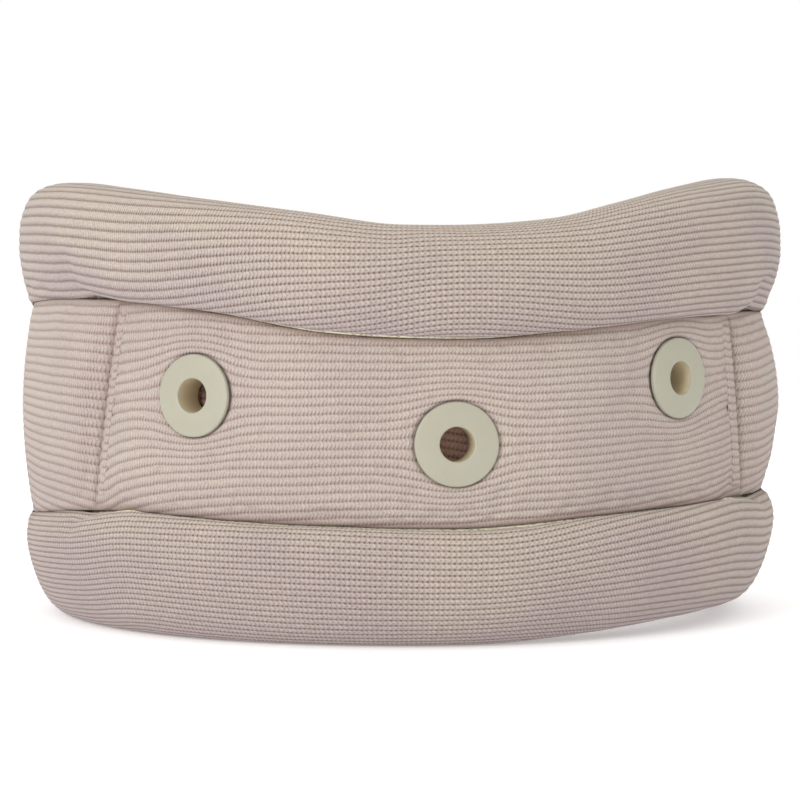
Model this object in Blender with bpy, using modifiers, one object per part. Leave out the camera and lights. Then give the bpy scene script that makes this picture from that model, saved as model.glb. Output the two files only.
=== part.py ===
"""A soft cervical collar: foam in a knit sleeve, a stiffened front panel and a hook-and-loop strap.

Metres, +Z up. The collar stands on z = 0 around the Z axis and its front faces -Y. Angles are in degrees
round the collar: 0 is the middle of the front, and positive angles turn towards +X.
"""

import math

import bmesh
import bpy
from mathutils import Matrix, Vector

MM = 0.001

# Ring, as (angle, value) stations round the collar. Each list closes on itself at 180 degrees.
TOP_EDGE = [(-180, 84), (-130, 87), (-90, 91), (-71, 89.4), (-53, 86.4), (-35, 82.3), (-22, 79.3),
            (-7, 76.3), (4, 76.8), (16, 78.9), (26, 82.2), (39, 86.4), (58, 90.7), (84, 92), (130, 87),
            (180, 84)]
TOP_SEAM = [(-180, 62), (-130, 63), (-86, 65.5), (-50, 64), (-33, 61), (-18, 57.2), (0, 56),
            (14, 57.4), (30, 60.1), (50, 62.4), (75, 64), (130, 63), (180, 62)]
BOTTOM_SEAM = [(-180, 21), (-130, 21), (-86, 21.3), (-50, 23.8), (-24, 22.5), (0, 21.8),
               (21, 23.7), (50, 25.5), (75, 26), (130, 21), (180, 21)]
BOTTOM_EDGE = [(-180, 0), (2, 0), (21, 1.2), (36, 2.4), (54, 3), (75, 3), (115, 0), (180, 0)]
ROLL_OUTER = [(-180, 83.1), (-150, 82.6), (-90, 82.5), (0, 82.5), (90, 82.5), (150, 82.6), (180, 83.1)]
WING_BAND = [(-180, 76.5), (-128, 76.5), (-108, 82), (-50, 82), (50, 82), (108, 82), (128, 76.5),
             (180, 76.5)]
WING_NOTCH = [(-180, 76.5), (-128, 76.5), (-108, 78.6), (0, 78.6), (108, 78.6), (128, 76.5),
              (180, 76.5)]

ROLL_INNER = 60.5 * MM
WAIST_INNER = 63.5 * MM
LOBE_POWER = 0.8  # 1 is an ellipse, less is squarer
WAIST_ROWS = 3
SEAM_MARGIN = 0.1  # the waist's first and last rows, as a share of its height from the seams
LOBE_SINK = 1.08  # how far a lobe's curve would pass the base that flattens it
LOW_ROLL_POINTS = 10
TOP_ROLL_POINTS = 9
BAND_ROWS = 4
BAND_POWER = 0.6  # how square the band's bulge is between the seams

GAP = 0.3 * MM
KNIT = 0.7 * MM

# The front panel's layers, from the sleeve outwards, as the radius of each inner face and its thickness.
# The sleeve is let in behind the panel, which leaves room for the washers on the plate's back.
SLEEVE_WAIST = 71.0 * MM
PLATE = (73.4 * MM, 1.0 * MM)
PAD = (74.7 * MM, 1.8 * MM)
COVER = (76.8 * MM, KNIT)
HEM = (77.8 * MM, 0.9 * MM)
PANEL_HALF = 51.0
PLATE_HALF = 46.0
PANEL_ROWS = 3
PLATE_EDGE = 2.5 * MM  # how far the plate stops short of the panel's seams
PAD_EDGE = 1.25 * MM
HEM_WIDTH = 3.0  # degrees

# Joint lines and ends.
FRONT_HALF = 51.5
WING_START = 52.3
SLEEVE_END = 171.2
CAP_START = 172.0
CAP_END = 174.6
CAP_RINGS = ((0.0, 0.0), (0.55, 0.8 * MM), (1.0, 3.0 * MM))  # share of the way to the tip, and inset

# Strap and its hook-and-loop fastening, as inner face radius and thickness.
LOOP = (76.8 * MM, 1.0 * MM)
HOOK = (78.1 * MM, 1.0 * MM)
ANCHOR = (76.8 * MM, 2.3 * MM)
STRAP = (79.4 * MM, 1.4 * MM)
STRAP_LOW = 22.6 * MM
STRAP_HIGH = 60.6 * MM
PATCH_MARGIN = 0.4 * MM  # how far the patch shows past the strap, above and below
HOOK_MARGIN = 1 * MM
TAB_INSET = 6 * MM
LOOP_ARC = (190.0, 230.0)
HOOK_ARC = (194.0, 219.0)
ANCHOR_ARC = (132.0, 158.0)
STRAP_ARC = (150.3, 220.0)
TAB_ARC = (220.3, 226.0)
STRAP_STEP = 4.0

# Eyelets, as angle and height of each.
EYELETS = {"left": (-36.6, 45.8 * MM), "centre": (0.0, 37.0 * MM), "right": (35.2, 49.2 * MM)}
FLANGE_R = 7.7 * MM
FLANGE_FACE = 79.0 * MM
FLANGE_BACK = 77.8 * MM
EYELET_EDGE = 0.35 * MM  # the flange's rounding
EYELET_HOLE_R = 3.15 * MM
BARREL_R = 3.9 * MM
BARREL_END = 71.9 * MM
WASHER_R = 7.2 * MM
WASHER_OUT = 72.6 * MM
WASHER_IN = 71.4 * MM
WASHER_HOLE_R = 4.2 * MM
CLEARANCE_R = 4.2 * MM
TURN_STEPS = 16

FRONT_STEP = 5.2
WING_STEP = 8.0

KNIT_BEIGE = (0.60, 0.50, 0.44, 1)
FOAM_CREAM = (0.82, 0.78, 0.62, 1)
EYELET_CREAM = (0.62, 0.58, 0.42, 1)
PLATE_WHITE = (0.80, 0.80, 0.78, 1)
WEBBING_BEIGE = (0.52, 0.42, 0.35, 1)


def start_scene():
    for item in list(bpy.data.objects):
        bpy.data.objects.remove(item, do_unlink=True)
    groups = []
    for name in ("cervical_collar", "cutters"):
        group = bpy.data.collections.new(name)
        bpy.context.scene.collection.children.link(group)
        groups.append(group)
    return groups


def material(name, colour, roughness):
    made = bpy.data.materials.new(name)
    made.use_nodes = True
    shader = made.node_tree.nodes["Principled BSDF"]
    shader.inputs["Base Color"].default_value = colour
    shader.inputs["Roughness"].default_value = roughness
    shader.inputs["Metallic"].default_value = 0.0
    return made


def add_object(name, mesh, group, look=None):
    made = bpy.data.objects.new(name, mesh)
    group.objects.link(made)
    if look:
        mesh.materials.append(look)
    mesh.shade_smooth()
    mesh.set_sharp_from_angle(angle=math.radians(35))
    return made


def along(stations, angle):
    """The smooth value at an angle, by cubic Hermite curves between stations."""
    angle = (angle + 180) % 360 - 180
    last = len(stations) - 1
    i = next(k for k in range(last) if angle <= stations[k + 1][0])

    def slope(k):
        if k in (0, last):
            return 0.0
        before, here, after = stations[k - 1:k + 2]
        if (here[1] - before[1]) * (after[1] - here[1]) <= 0:  # a peak, a trough or a level run's end
            return 0.0
        return (after[1] - before[1]) / (after[0] - before[0])

    (a0, v0), (a1, v1) = stations[i], stations[i + 1]
    span = a1 - a0
    t = (angle - a0) / span
    smooth = v0 * (2 * t**3 - 3 * t**2 + 1) + v1 * (3 * t**2 - 2 * t**3)
    tilt = slope(i) * (t**3 - 2 * t**2 + t) + slope(i + 1) * (t**3 - t**2)
    return (smooth + tilt * span) * MM


def place(radius, angle, height):
    a = math.radians(angle)
    return Vector((radius * math.sin(a), -radius * math.cos(a), height))


def spread(start, end, step):
    """Angles from start to end in equal steps no wider than step."""
    count = math.ceil((end - start) / step)
    return [start + (end - start) * k / count for k in range(count + 1)]


def power(value, exponent):
    return math.copysign(abs(value) ** exponent, value)


def lobe(centre, half_width, half_height, start, end, count):
    """Points on a rounded roll's outline, from one angle to another."""
    points = []
    for k in range(count):
        t = math.radians(start + (end - start) * k / (count - 1))
        across = half_width * power(math.cos(t), LOBE_POWER)
        up = half_height * power(math.sin(t), LOBE_POWER)
        points.append((centre[0] + across, centre[1] + up))
    return points


def lobe_angle(offset, half_width):
    """The lobe's angle, in degrees from its outer side, where it lies at this offset from its middle."""
    return math.degrees(math.acos(power(offset / half_width, 1 / LOBE_POWER)))


def cover_outline(angle, front):
    """The sleeve's closed outline at an angle, as (radius, height), counter-clockwise."""
    roll_outer = along(ROLL_OUTER, angle)
    middle = (roll_outer + ROLL_INNER) / 2
    half_width = (roll_outer - ROLL_INNER) / 2
    base, low = along(BOTTOM_EDGE, angle), along(BOTTOM_SEAM, angle)
    high, top = along(TOP_SEAM, angle), along(TOP_EDGE, angle)
    notch = SLEEVE_WAIST if front else along(WING_NOTCH, angle)
    crest = SLEEVE_WAIST if front else along(WING_BAND, angle)
    outer = lobe_angle(notch - middle, half_width)
    inner = 180 - lobe_angle(middle - WAIST_INNER, half_width)

    low_half = (low - base) / 2
    sunk = low_half * LOBE_SINK
    low_roll = lobe((middle, low - sunk), half_width, sunk, inner, 360 + outer, LOW_ROLL_POINTS)
    points = [(r, max(z, base)) for r, z in low_roll]

    for k in range(1, BAND_ROWS):
        f = k / BAND_ROWS
        bulge = math.sin(math.pi * f) ** BAND_POWER
        points.append((notch + (crest - notch) * bulge, low + (high - low) * f))

    top_half = (top - high) / 2
    points += lobe((middle, high + top_half), half_width, top_half, -outer, 360 - inner, TOP_ROLL_POINTS)

    for k in range(WAIST_ROWS - 1, -1, -1):
        share = SEAM_MARGIN + (1 - 2 * SEAM_MARGIN) * k / (WAIST_ROWS - 1)
        points.append((WAIST_INNER, low + (high - low) * share))
    return points


def inset(points, distance):
    """The outline moved inwards by a distance, corner by corner."""
    count = len(points)
    moved = []
    for i in range(count):
        before, here, after = (Vector(points[(i + k) % count]) for k in (-1, 0, 1))
        one, two = (here - before).normalized(), (after - here).normalized()
        normal = Vector((-(one.y + two.y), one.x + two.x)).normalized()
        stretch = 1 / max(0.6, normal.dot(Vector((-one.y, one.x))))
        moved.append(here + normal * distance * stretch)
    return [(p.x, p.y) for p in moved]


def loft(name, rings, group, look, capped):
    """Skins a run of equal rings of points, in order of increasing angle so that the faces point out."""
    shape = bmesh.new()
    rows = [[shape.verts.new(p) for p in ring] for ring in rings]
    count = len(rings[0])
    for row, after in zip(rows, rows[1:]):
        for i in range(count):
            j = (i + 1) % count
            shape.faces.new((row[i], after[i], after[j], row[j]))
    if capped:
        shape.faces.new(rows[0])
        shape.faces.new(list(reversed(rows[-1])))
    mesh = bpy.data.meshes.new(name)
    shape.to_mesh(mesh)
    shape.free()
    return add_object(name, mesh, group, look)


def band(name, angles, low, high, radius, thickness, rows, group, look):
    """A curved sheet between two heights, thickened outwards from its inner face."""
    shape = bmesh.new()
    grid = []
    for angle in angles:
        z0, z1 = low(angle), high(angle)
        heights = [z0 + (z1 - z0) * k / rows for k in range(rows + 1)]
        grid.append([shape.verts.new(place(radius, angle, z)) for z in heights])
    for left, right in zip(grid, grid[1:]):
        for k in range(rows):
            shape.faces.new((left[k], right[k], right[k + 1], left[k + 1]))
    mesh = bpy.data.meshes.new(name)
    shape.to_mesh(mesh)
    shape.free()
    made = add_object(name, mesh, group, look)
    thicken(made, thickness, 1)
    return made


def thicken(item, thickness, offset):
    shell = item.modifiers.new("thickness", "SOLIDIFY")
    shell.thickness = thickness
    shell.offset = offset


def cut(item, cutter):
    hole = item.modifiers.new("cut_" + cutter.name, "BOOLEAN")
    hole.operation = "DIFFERENCE"
    hole.solver = "EXACT"
    hole.object = cutter


def turned(name, profile, group, look):
    """A ring turned about its local Z from a closed profile of (radius, height)."""
    shape = bmesh.new()
    points = [shape.verts.new((r, 0, z)) for r, z in profile]
    for i in range(len(points)):
        shape.edges.new((points[i], points[(i + 1) % len(points)]))
    mesh = bpy.data.meshes.new(name)
    shape.to_mesh(mesh)
    shape.free()
    made = add_object(name, mesh, group, look)
    screw = made.modifiers.new("turn", "SCREW")
    screw.steps = TURN_STEPS
    screw.render_steps = TURN_STEPS
    screw.use_merge_vertices = True
    screw.merge_threshold = 0.00001
    screw.use_smooth_shade = True
    return made


def face_outwards(item, angle, height):
    """Stands a turned piece on the collar's axis so that its local Z points out at an angle."""
    out = place(1, angle, 0)
    side = Vector((0, 0, 1)).cross(out)
    up = out.cross(side)
    turn = Matrix((side, up, out)).transposed()
    item.matrix_world = Matrix.Translation((0, 0, height)) @ turn.to_4x4()


def ring_points(angle, front, depth):
    return [place(r, angle, z) for r, z in inset(cover_outline(angle, front), depth)]


def foam_and_sleeve(side, angles, front, group, looks):
    """One stretch of the foam core and the knit sleeve around it."""
    core_rings = [ring_points(a, front, KNIT + GAP) for a in angles]
    core = loft(side + "_foam_core", core_rings, group, looks["foam"], True)
    sleeve_rings = [ring_points(a, front, 0) for a in angles]
    sleeve = loft(side + "_knit_sleeve", sleeve_rings, group, looks["knit"], False)
    thicken(sleeve, KNIT, -1)


def end_cover(name, sign, group, look):
    """The knit that closes a wing's end, drawn in towards the tip."""
    rings = []
    for share, depth in CAP_RINGS[::sign]:
        angle = sign * (CAP_START + (CAP_END - CAP_START) * share)
        rings.append(ring_points(angle, False, depth))
    return loft(name, rings, group, look, True)


def eyelet_cutters(group):
    middle = Matrix.Translation((0, 0, (FLANGE_FACE + WASHER_IN) / 2))
    cutters = []
    for side, (angle, height) in EYELETS.items():
        shape = bmesh.new()
        bmesh.ops.create_cone(shape, cap_ends=True, segments=TURN_STEPS, radius1=CLEARANCE_R,
                              radius2=CLEARANCE_R, depth=FLANGE_FACE - WASHER_IN, matrix=middle)
        mesh = bpy.data.meshes.new("vent_cutter_" + side)
        shape.to_mesh(mesh)
        shape.free()
        cutter = add_object("vent_cutter_" + side, mesh, group)
        face_outwards(cutter, angle, height)
        cutter.hide_render = True
        cutter.display_type = "WIRE"
        cutters.append(cutter)
    return cutters


def eyelets(group, looks):
    below = FLANGE_FACE - EYELET_EDGE
    barrel_and_flange = [
        (EYELET_HOLE_R + EYELET_EDGE, FLANGE_FACE), (FLANGE_R - EYELET_EDGE, FLANGE_FACE), (FLANGE_R, below),
        (FLANGE_R, FLANGE_BACK), (BARREL_R, FLANGE_BACK), (BARREL_R, BARREL_END),
        (EYELET_HOLE_R, BARREL_END), (EYELET_HOLE_R, below),
    ]
    washer = [(WASHER_R, WASHER_OUT), (WASHER_R, WASHER_IN), (WASHER_HOLE_R, WASHER_IN),
              (WASHER_HOLE_R, WASHER_OUT)]
    for side, (angle, height) in EYELETS.items():
        face_outwards(turned("eyelet_" + side, barrel_and_flange, group, looks["eyelet"]), angle, height)
        face_outwards(turned("eyelet_washer_" + side, washer, group, looks["eyelet"]), angle, height)


def panel_low(angle):
    return along(BOTTOM_SEAM, angle) + 2 * GAP


def panel_high(angle):
    return along(TOP_SEAM, angle) - 2 * GAP


def front_panel(group, looks):
    """The stiffened panel's three layers and the hems over its side seams."""
    wide = spread(-PANEL_HALF, PANEL_HALF, FRONT_STEP)
    short = spread(-PLATE_HALF, PLATE_HALF, FRONT_STEP)

    def layer(name, angles, margin, shell, look):
        return band(name, angles, lambda a: panel_low(a) + margin, lambda a: panel_high(a) - margin,
                    *shell, PANEL_ROWS, group, looks[look])

    plate = layer("stiffener_plate", short, PLATE_EDGE, PLATE, "plate")
    pad = layer("panel_foam_pad", short, PAD_EDGE, PAD, "foam")
    cover = layer("panel_knit_cover", wide, 0, COVER, "knit")
    for side, start in (("left", -PANEL_HALF), ("right", PANEL_HALF - HEM_WIDTH)):
        layer("panel_hem_" + side, spread(start, start + HEM_WIDTH, HEM_WIDTH / 2), 0, HEM, "knit")
    return [plate, pad, cover]


def wings(group, looks):
    for side, sign in (("left", -1), ("right", 1)):
        angles = sorted(sign * a for a in spread(WING_START, SLEEVE_END, WING_STEP))
        foam_and_sleeve(side, angles, False, group, looks)
        end_cover(side + "_end_cover", sign, group, looks["knit"])


def fastening(group, looks):
    """The loop patch on the left wing, the strap's anchor on the right wing, and the strap with its hook."""
    pieces = (
        ("loop_patch", LOOP_ARC, LOOP, -PATCH_MARGIN),
        ("strap_anchor", ANCHOR_ARC, ANCHOR, 0),
        ("strap_webbing", STRAP_ARC, STRAP, 0),
        ("hook_tape", HOOK_ARC, HOOK, HOOK_MARGIN),
        ("strap_pull_tab", TAB_ARC, STRAP, TAB_INSET),
    )
    for name, arc, shell, margin in pieces:
        band(name, spread(*arc, STRAP_STEP), lambda a, m=margin: STRAP_LOW + m,
             lambda a, m=margin: STRAP_HIGH - m, *shell, 1, group, looks["webbing"])


def build():
    group, cutters = start_scene()
    looks = {
        "knit": material("ribbed_knit", KNIT_BEIGE, 0.9),
        "foam": material("soft_foam", FOAM_CREAM, 0.95),
        "eyelet": material("eyelet_plastic", EYELET_CREAM, 0.35),
        "plate": material("stiffener_plastic", PLATE_WHITE, 0.45),
        "webbing": material("strap_webbing", WEBBING_BEIGE, 0.85),
    }
    foam_and_sleeve("front", spread(-FRONT_HALF, FRONT_HALF, FRONT_STEP), True, group, looks)
    vents = eyelet_cutters(cutters)
    for layer in front_panel(group, looks):
        for vent in vents:
            cut(layer, vent)
    eyelets(group, looks)
    wings(group, looks)
    fastening(group, looks)


build()
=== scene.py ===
"""The looks of the soft cervical collar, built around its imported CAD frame."""

import math

import bmesh
import bpy
import numpy as np
from mathutils import Matrix, Vector


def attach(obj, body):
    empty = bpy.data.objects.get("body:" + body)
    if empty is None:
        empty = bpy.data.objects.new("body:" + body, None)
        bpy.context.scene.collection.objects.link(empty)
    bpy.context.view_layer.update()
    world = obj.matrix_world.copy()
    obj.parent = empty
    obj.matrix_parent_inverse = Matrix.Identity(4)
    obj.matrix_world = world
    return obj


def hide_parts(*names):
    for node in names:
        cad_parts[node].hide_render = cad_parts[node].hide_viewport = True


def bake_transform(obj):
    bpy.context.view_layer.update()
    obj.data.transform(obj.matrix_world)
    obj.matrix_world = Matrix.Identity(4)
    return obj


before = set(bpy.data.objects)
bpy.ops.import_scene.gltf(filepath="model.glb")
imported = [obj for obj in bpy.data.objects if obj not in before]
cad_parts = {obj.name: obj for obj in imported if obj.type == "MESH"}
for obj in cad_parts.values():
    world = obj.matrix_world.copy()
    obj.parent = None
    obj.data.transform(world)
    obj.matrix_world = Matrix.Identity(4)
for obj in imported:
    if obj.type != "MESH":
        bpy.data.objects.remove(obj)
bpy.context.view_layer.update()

MM = 0.001

# The collar as (angle, value) stations round its axis: degrees from the middle of the front, positive towards
# +X, and millimetres.
TOP_EDGE = [(-180, 84), (-130, 87), (-90, 91), (-71, 89.4), (-53, 86.4), (-35, 82.3), (-22, 79.3),
            (-7, 76.3), (4, 76.8), (16, 78.9), (26, 82.2), (39, 86.4), (58, 90.7), (84, 92), (130, 87),
            (180, 84)]
TOP_SEAM = [(-180, 62), (-130, 63), (-86, 65.5), (-50, 64), (-33, 61), (-18, 57.2), (0, 56),
            (14, 57.4), (30, 60.1), (50, 62.4), (75, 64), (130, 63), (180, 62)]
BOTTOM_SEAM = [(-180, 21), (-130, 21), (-86, 21.3), (-50, 23.8), (-24, 22.5), (0, 21.8),
               (21, 23.7), (50, 25.5), (75, 26), (130, 21), (180, 21)]
BOTTOM_EDGE = [(-180, 0), (2, 0), (21, 1.2), (36, 2.4), (54, 3), (75, 3), (115, 0), (180, 0)]
TOP_OUTER = [(-180, 83.1), (-150, 82.6), (-90, 82.2), (0, 82.5), (90, 82.2), (150, 82.6), (180, 83.1)]
LOW_OUTER = [(-180, 82.6), (-130, 81.9), (-90, 80.7), (-50, 81.6), (0, 82.3), (50, 81.6), (90, 81.0),
             (130, 81.9), (180, 82.6)]
SEAM_RADIUS = [(-180, 75.9), (-128, 75.9), (-105, 80.0), (-70, 80.0), (-56, 78.2), (-46, 76.6), (0, 76.3),
               (42, 76.6), (51, 77.6), (64, 78.5), (105, 78.8), (128, 75.9), (180, 75.9)]
WING_CREST = [(-180, 76.5), (-128, 76.5), (-108, 81.4), (-90, 82.1), (-50, 81.9), (50, 81.7), (90, 82.0),
              (108, 81.4), (128, 76.5), (180, 76.5)]
# How round the wings' bulge is: a power, in thousandths, which along() turns into units.
WING_ROUND = [(-180, 500), (-130, 500), (-90, 950), (-60, 600), (60, 600), (90, 950), (130, 500), (180, 500)]

# Rib pitch in millimetres: the knit is stretched wide in places, and its stitches are shorter there.
TOP_PITCH = [(-180, 1.2), (-130, 1.5), (-85, 1.85), (-50, 1.88), (-22, 1.36), (0, 1.04), (25, 1.28),
             (55, 1.46), (90, 1.5), (180, 1.2)]
LOW_PITCH = [(-180, 1.2), (-90, 1.05), (-50, 1.08), (-20, 1.15), (5, 1.09), (28, 1.42), (50, 1.72),
             (90, 1.75), (180, 1.2)]
# How far the panel's ribs drop or rise along its lower and its upper seam, also in millimetres.
PANEL_LOW_RUN = [(-180, -7.5), (-57, -7.5), (-50, -5.2), (-38, -2.8), (-20, -1.1), (0, 0), (20, 1.6),
                 (40, 4.6), (57, 7.6), (180, 7.6)]
PANEL_HIGH_RUN = [(-180, 2.4), (-57, 2.4), (-40, 2.0), (-25, 0.4), (0, -0.3), (20, 0.8), (40, 2.8), (57, 5),
                  (180, 5)]
PANEL_PITCH = 1.53 * MM
WING_PITCH = 1.8 * MM
WAIST_PITCH = 1.5 * MM
STITCH_AREA = 1.06 * MM * MM

# The sleeve's section. Each roll's outer face starts at its seam as shares of the way out and of the way up, in
# one list for the front, where the roll hangs over the panel, and one for the wings.
FRONT_LIP = [(0.0, 0.07), (0.346, -0.015), (0.716, 0.03), (0.938, 0.19)]
WING_LIP = [(0.0, 0.0), (0.2, 0.08), (0.7, 0.235), (0.96, 0.39)]
LOW_FRONT_LIP = [(0.0, 0.06), (0.346, -0.012), (0.716, 0.03), (0.938, 0.17)]
LOW_WING_LIP = [(0.0, 0.0), (0.25, 0.03), (0.75, 0.12), (0.97, 0.25)]
# Then radii in millimetres, with heights as shares of the upper roll, the waist or the lower roll.
TOP_FACE = [(82.5, 0.5), (82.1, 0.7), (80.3, 0.88), (76.8, 0.975), (72.2, 1.0)]
TOP_BACK = [(67.3, 0.97), (63.4, 0.86), (61.2, 0.66), (60.5, 0.42), (61.2, 0.16)]
WAIST = [(62.6, 0.95), (63.6, 0.78), (63.8, 0.5), (63.6, 0.22), (62.6, 0.05)]
LOW_BACK = [(61.2, 0.84), (60.5, 0.58), (61.0, 0.3), (63.4, 0.09), (67.2, 0.0)]
LOW_FACE = [(71.2, 0.0), (74.8, 0.03), (77.7, 0.14), (80.0, 0.33), (81.8, 0.57)]
ROLL_WIDEST = 82.5
ROLL_MIDDLE = 71.5

HALF_TURN = 171.4    # each wing's end, in degrees, which its end cover passes by CAP_ADVANCE
CAP_ADVANCE = 3.1
END_MIDDLE = 70.5 * MM
COLUMNS = 420
ROWS = {"top_face": 230, "top_back": 110, "waist": 110, "low_back": 100, "low_face": 210}
BACK_RIBS = {"top_back": 24, "waist": 28, "low_back": 22}
FOAM_ROWS = 14
FOAM_HEART = 71.5 * MM
FOAM_WAIST = 70.0 * MM
FOAM_INSET = 1.7 * MM

EYELETS = {"left": (-36.6, 45.8 * MM), "centre": (0.0, 37.0 * MM), "right": (35.2, 49.2 * MM)}
FLANGE_FACE = 79.0 * MM
FLANGE_BACK = 77.8 * MM
FLANGE_R = 7.7 * MM
HOLE_R = 3.15 * MM
BARREL_R = 3.9 * MM
BARREL_END = 72.4 * MM
WASHER_R = 7.2 * MM
WASHER_OUT = 72.6 * MM
WASHER_IN = 71.5 * MM
WASHER_HOLE_R = 4.2 * MM
VENT_R = 4.6 * MM

SIDES = {-1: "left", 1: "right"}
SIDE_SEAMS = {-1: (-57.0, -51.5), 1: (55.0, 50.2)}    # angles at the lower and the upper seam
HEMS = {-1: (2.2 * MM, 0.04 * MM), 1: (5.0 * MM, 0.38 * MM)}    # width, and height above the panel
EDGE_TUCK = 0.3 * MM
PANEL_R = 78 * MM    # the radii at which distances round the collar are measured
WING_R = 79 * MM
WAIST_R = 71 * MM
PANEL_HEIGHT = 36 * MM
WING_HEIGHT = 38 * MM

# The closure, in millimetres and degrees.
TAPE_LOW = 22.6
TAPE_HIGH = 60.6
STRAP_RADII = (79.4, 80.8)
HOOK_RADII = (78.1, 79.1)
LOOP_RADII = (76.8, 77.8)
ANCHOR_RADII = (76.8, 79.1)
STITCH_INSET = 2.2


# -------- shapes

def along(stations, angle):
    """Smooth values at angles, in metres, by cubic Hermite curves that are level at peaks and troughs."""
    a, v = np.array(stations, float).T
    m = np.zeros(len(a))
    m[1:-1] = (v[2:] - v[:-2]) / (a[2:] - a[:-2])
    m[1:-1][(v[1:-1] - v[:-2]) * (v[2:] - v[1:-1]) <= 0] = 0
    x = (np.asarray(angle, float) + 180) % 360 - 180
    i = np.clip(np.searchsorted(a, x) - 1, 0, len(a) - 2)
    span = a[i + 1] - a[i]
    t = (x - a[i]) / span
    smooth = v[i] * (2 * t**3 - 3 * t**2 + 1) + v[i + 1] * (3 * t**2 - 2 * t**3)
    return (smooth + span * (m[i] * (t**3 - 2 * t**2 + t) + m[i + 1] * (t**3 - t**2))) * MM


def layers(*values):
    return np.stack(np.broadcast_arrays(*values), axis=-1)


def place(radius, angle, height):
    """Points round the collar's axis."""
    a = np.radians(angle)
    return layers(radius * np.sin(a), -radius * np.cos(a), height)


def ease(t):
    t = np.clip(t, 0, 1)
    return t * t * (3 - 2 * t)


def cubic_weights(positions, count):
    """The matrix that reads a row of count values at fractional positions with Catmull-Rom curves."""
    weights = np.zeros((len(positions), count))
    i = np.clip(np.floor(positions).astype(int), 0, count - 2)
    t = positions - i
    shares = (-0.5 * t**3 + t**2 - 0.5 * t, 1.5 * t**3 - 2.5 * t**2 + 1,
              -1.5 * t**3 + 2 * t**2 + 0.5 * t, 0.5 * t**3 - 0.5 * t**2)
    rows = np.arange(len(positions))
    for k, share in enumerate(shares):
        at = i + k - 1
        # past an end, the row is carried on in a straight line
        for outside, end, inner in ((at < 0, 0, 1), (at > count - 1, count - 1, count - 2)):
            weights[rows[outside], end] += 2 * share[outside]
            weights[rows[outside], inner] -= share[outside]
        inside = (at >= 0) & (at <= count - 1)
        weights[rows[inside], at[inside]] += share[inside]
    return weights


def refine(grid, columns, rows):
    """A grid of points or numbers read smoothly at more columns and rows."""
    across = cubic_weights(np.linspace(0, grid.shape[0] - 1, columns), grid.shape[0])
    up = cubic_weights(np.linspace(0, grid.shape[1] - 1, rows), grid.shape[1])
    tall = np.einsum("bj,ij...->ib...", up, grid, optimize=True)
    return np.einsum("ai,ij...->aj...", across, tall, optimize=True)


def noise(columns, rows, cell_columns, cell_rows, seed):
    """Smooth random values about 0, with cells of the given size in grid steps."""
    rng = np.random.default_rng(seed)
    cells = (max(3, int(columns / cell_columns) + 2), max(3, int(rows / cell_rows) + 2))
    coarse = rng.uniform(-1, 1, cells)
    return refine(coarse, columns, rows)


def eyelet_distance(angle, height):
    """The distance to the nearest eyelet's axis over the surface, and how far above it the point is."""
    away = above = None
    for where, level in EYELETS.values():
        up = height - level
        d = np.hypot(np.radians(angle - where) * FLANGE_BACK, up)
        if away is None:
            away, above = d, up + 0 * d
        else:
            above = np.where(d < away, up, above)
            away = np.minimum(d, away)
    return away, above


def lip(front_shape, wing_shape, angles, seam, outer, start, end):
    """A roll's first points beyond its seam, at each angle."""
    front = ease((64 - np.abs(angles)) / 18)
    points = []
    for (f_out, f_up), (w_out, w_up) in zip(front_shape, wing_shape):
        out = w_out + (f_out - w_out) * front
        up = w_up + (f_up - w_up) * front
        points.append((seam + (outer - seam) * out, start + (end - start) * up))
    return points


def sleeve_section(angles):
    """The outline of each stretch of the sleeve at each angle, from the upper seam round to the lower."""
    base, low = along(BOTTOM_EDGE, angles), along(BOTTOM_SEAM, angles)
    high, top = along(TOP_SEAM, angles), along(TOP_EDGE, angles)
    seam = along(SEAM_RADIUS, angles)
    top_outer, low_outer = along(TOP_OUTER, angles), along(LOW_OUTER, angles)

    def run(points, outer, start, end):
        out = []
        for radius, share in points:
            beyond = max(0, radius - ROLL_MIDDLE) / (ROLL_WIDEST - ROLL_MIDDLE)
            out.append((radius * MM + (outer - ROLL_WIDEST * MM) * beyond, start + (end - start) * share))
        return out

    top_lip = lip(FRONT_LIP, WING_LIP, angles, seam, top_outer, high, top)
    low_lip = lip(LOW_FRONT_LIP, LOW_WING_LIP, angles, seam, low_outer, low, base)
    stretches = [top_lip + run(TOP_FACE, top_outer, high, top), run(TOP_BACK, top_outer, high, top),
                 run(WAIST, top_outer, low, high), run(LOW_BACK, low_outer, base, low),
                 run(LOW_FACE, low_outer, base, low) + low_lip[::-1]]
    controls = [point for stretch in stretches for point in stretch]
    grid = np.stack([np.stack(point, axis=-1) for point in controls], axis=1)
    # a stretch ends at its last control, except the waist, which runs on to the lower back's first one
    ends = np.cumsum([0] + [len(stretch) for stretch in stretches])
    ends = [0, ends[1] - 1, ends[2] - 1, ends[3], ends[4] - 1, ends[5] - 1]
    fine = 24
    positions = np.arange((len(controls) - 1) * fine + 1) / fine
    dense = np.einsum("bj,ijk->ibk", cubic_weights(positions, len(controls)), grid)
    return [dense[:, a * fine:b * fine + 1] for a, b in zip(ends, ends[1:])]


def spaced(outlines, rows):
    """The outlines read at rows + 1 even steps along their length, with each one's length."""
    steps = np.linalg.norm(np.diff(outlines, axis=1), axis=2)
    length = np.concatenate([np.zeros((len(outlines), 1)), np.cumsum(steps, axis=1)], axis=1)
    out = np.empty((len(outlines), rows + 1, 2))
    for i, outline in enumerate(outlines):
        want = np.linspace(0, length[i, -1], rows + 1)
        out[i, :, 0] = np.interp(want, length[i], outline[:, 0])
        out[i, :, 1] = np.interp(want, length[i], outline[:, 1])
    return out, length[:, -1]


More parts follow.
